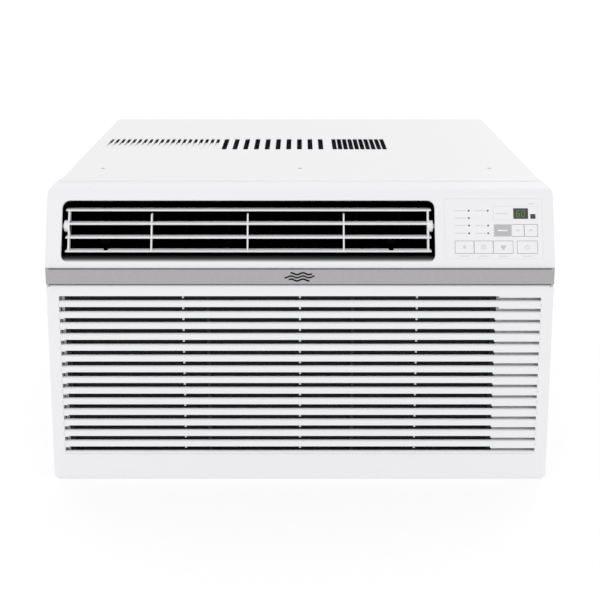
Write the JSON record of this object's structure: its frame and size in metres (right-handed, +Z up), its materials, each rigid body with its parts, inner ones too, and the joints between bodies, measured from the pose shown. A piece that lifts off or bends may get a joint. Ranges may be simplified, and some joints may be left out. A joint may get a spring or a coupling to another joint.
{
  "type": "window air conditioner",
  "caption": "White window air conditioner with a sloped head holding the air outlet and keypad, a silver trim band, a slatted intake grille and a steel case over its refrigeration set.",
  "frame": {"origin": "middle of the underside of the part's bounding box", "axes": "+X to the right of someone facing the front, +Y outdoors, +Z up"},
  "size_m": [0.6, 0.566, 0.359],
  "materials": {
    "white_plastic": "fine satin moulding",
    "white_steel": "powder coat, low sheen",
    "silver_trim": "silver paint",
    "black_plastic": "satin",
    "smoked_window": "polished",
    "grey_plastic": "satin",
    "filter_net": "woven net",
    "galvanised_steel": "spangled zinc",
    "fin_aluminium": "thin fins",
    "copper_tube": "drawn copper",
    "black_steel": "black enamel",
    "rubber": "matt",
    "circuit_board": "solder resist",
    "bright_steel": "zinc plated"
  },
  "bodies": {
    "chassis": {"front_frame": "white_plastic", "filter_holder": "white_plastic", "control_overlay": "white_plastic", "case": "white_steel", "trim_band": "silver_trim", "air_duct": "black_plastic", "remote_receiver": "black_plastic", "control_box": "black_plastic", "display_window": "smoked_window", "indicator_lamps": "grey_plastic", "blower_housing": "grey_plastic", "fan_shroud": "grey_plastic", "terminal_cover": "grey_plastic", "room_sensor": "grey_plastic", "base_pan": "galvanised_steel", "bulkhead": "galvanised_steel", "motor_bracket": "galvanised_steel", "evaporator_coil": "fin_aluminium", "condenser_coil": "fin_aluminium", "run_capacitor": "fin_aluminium", "suction_pipe": "copper_tube", "discharge_pipe": "copper_tube", "capillary_tube": "copper_tube", "compressor": "black_steel", "accumulator": "black_steel", "fan_motor": "black_steel", "compressor_grommet_1": "rubber", "compressor_grommet_2": "rubber", "compressor_grommet_3": "rubber", "drain_plug": "rubber", "display_board": "circuit_board", "main_board": "circuit_board", "case_screw_left": "bright_steel", "case_screw_right": "bright_steel", "grille_hinge_pin_left": "bright_steel", "grille_hinge_pin_right": "bright_steel"},
    "intake_grille": {"intake_grille": "white_plastic"},
    "air_filter": {"filter_frame": "grey_plastic", "filter_net": "filter_net"},
    "louvre_grid": {"louvre_grid": "white_plastic"},
    "fan": {"fan_shaft": "bright_steel", "blower_wheel": "grey_plastic", "condenser_fan": "black_plastic"},
    "vane_left_1": {"vane_left_1": "black_plastic"},
    "vane_left_2": {"vane_left_2": "black_plastic"},
    "vane_left_3": {"vane_left_3": "black_plastic"},
    "vane_left_4": {"vane_left_4": "black_plastic"},
    "vane_link_left": {"vane_link_left": "black_plastic"},
    "vane_right_1": {"vane_right_1": "black_plastic"},
    "vane_right_2": {"vane_right_2": "black_plastic"},
    "vane_right_3": {"vane_right_3": "black_plastic"},
    "vane_right_4": {"vane_right_4": "black_plastic"},
    "vane_link_right": {"vane_link_right": "black_plastic"},
    "mode_button": {"mode_button": "white_plastic"},
    "timer_button": {"timer_button": "white_plastic"},
    "fan_speed_button": {"fan_speed_button": "white_plastic"},
    "power_button": {"power_button": "white_plastic"},
    "temp_down_button": {"temp_down_button": "white_plastic"},
    "temp_up_button": {"temp_up_button": "white_plastic"}
  },
  "joints": [
    {"name": "grille_hinge", "type": "hinge", "parent": "chassis", "child": "intake_grille", "pos_m": [0, -0.2785, 0.2452], "axis": [-1, 0, 0], "range_deg": [0, 60]},
    {"name": "filter_slide", "type": "slide", "parent": "chassis", "child": "air_filter", "axis": [0, 0, -1], "range_m": [0, 0.22]},
    {"name": "louvre_tilt", "type": "hinge", "parent": "chassis", "child": "louvre_grid", "pos_m": [-0.0611, -0.2527, 0.3119], "axis": [1, 0, 0], "range_deg": [-16, 16]},
    {"name": "fan_spin", "type": "hinge", "parent": "chassis", "child": "fan", "pos_m": [-0.06, 0.06, 0.168], "axis": [0, 1, 0], "continuous": true},
    {"name": "vane_left_1_turn", "type": "hinge", "parent": "chassis", "child": "vane_left_1", "pos_m": [-0.0871, -0.208, 0.31], "axis": [0, 0, 1], "range_deg": [-25, 25]},
    {"name": "vane_left_2_turn", "type": "hinge", "parent": "chassis", "child": "vane_left_2", "pos_m": [-0.1391, -0.208, 0.31], "axis": [0, 0, 1], "range_deg": [-25, 25]},
    {"name": "vane_left_3_turn", "type": "hinge", "parent": "chassis", "child": "vane_left_3", "pos_m": [-0.1911, -0.208, 0.31], "axis": [0, 0, 1], "range_deg": [-25, 25]},
    {"name": "vane_left_4_turn", "type": "hinge", "parent": "chassis", "child": "vane_left_4", "pos_m": [-0.2431, -0.208, 0.31], "axis": [0, 0, 1], "range_deg": [-25, 25]},
    {"name": "vane_link_left_swing", "type": "hinge", "parent": "vane_left_1", "child": "vane_link_left", "pos_m": [-0.0871, -0.218, 0.2935], "axis": [0, 0, 1], "range_deg": [-30, 30]},
    {"name": "vane_right_1_turn", "type": "hinge", "parent": "chassis", "child": "vane_right_1", "pos_m": [-0.0351, -0.208, 0.31], "axis": [0, 0, 1], "range_deg": [-25, 25]},
    {"name": "vane_right_2_turn", "type": "hinge", "parent": "chassis", "child": "vane_right_2", "pos_m": [0.0169, -0.208, 0.31], "axis": [0, 0, 1], "range_deg": [-25, 25]},
    {"name": "vane_right_3_turn", "type": "hinge", "parent": "chassis", "child": "vane_right_3", "pos_m": [0.0689, -0.208, 0.31], "axis": [0, 0, 1], "range_deg": [-25, 25]},
    {"name": "vane_right_4_turn", "type": "hinge", "parent": "chassis", "child": "vane_right_4", "pos_m": [0.1209, -0.208, 0.31], "axis": [0, 0, 1], "range_deg": [-25, 25]},
    {"name": "vane_link_right_swing", "type": "hinge", "parent": "vane_right_1", "child": "vane_link_right", "pos_m": [-0.0351, -0.218, 0.2935], "axis": [0, 0, 1], "range_deg": [-30, 30]},
    {"name": "mode_press", "type": "slide", "parent": "chassis", "child": "mode_button", "axis": [0, 0.9274, -0.374], "range_m": [0, 0.0008], "stiffness_N_per_m": 400},
    {"name": "timer_press", "type": "slide", "parent": "chassis", "child": "timer_button", "axis": [0, 0.9274, -0.374], "range_m": [0, 0.0008], "stiffness_N_per_m": 400},
    {"name": "fan_speed_press", "type": "slide", "parent": "chassis", "child": "fan_speed_button", "axis": [0, 0.9274, -0.374], "range_m": [0, 0.0008], "stiffness_N_per_m": 400},
    {"name": "power_press", "type": "slide", "parent": "chassis", "child": "power_button", "axis": [0, 0.9274, -0.374], "range_m": [0, 0.0008], "stiffness_N_per_m": 400},
    {"name": "temp_down_press", "type": "slide", "parent": "chassis", "child": "temp_down_button", "axis": [0, 0.9274, -0.374], "range_m": [0, 0.0008], "stiffness_N_per_m": 400},
    {"name": "temp_up_press", "type": "slide", "parent": "chassis", "child": "temp_up_button", "axis": [0, 0.9274, -0.374], "range_m": [0, 0.0008], "stiffness_N_per_m": 400}
  ],
  "couplings": [
    {"joint": "vane_left_2_turn", "follows": "vane_left_1_turn", "ratio": 1},
    {"joint": "vane_left_3_turn", "follows": "vane_left_1_turn", "ratio": 1},
    {"joint": "vane_left_4_turn", "follows": "vane_left_1_turn", "ratio": 1},
    {"joint": "vane_link_left_swing", "follows": "vane_left_1_turn", "ratio": -1},
    {"joint": "vane_right_2_turn", "follows": "vane_right_1_turn", "ratio": 1},
    {"joint": "vane_right_3_turn", "follows": "vane_right_1_turn", "ratio": 1},
    {"joint": "vane_right_4_turn", "follows": "vane_right_1_turn", "ratio": 1},
    {"joint": "vane_link_right_swing", "follows": "vane_right_1_turn", "ratio": -1}
  ]
}
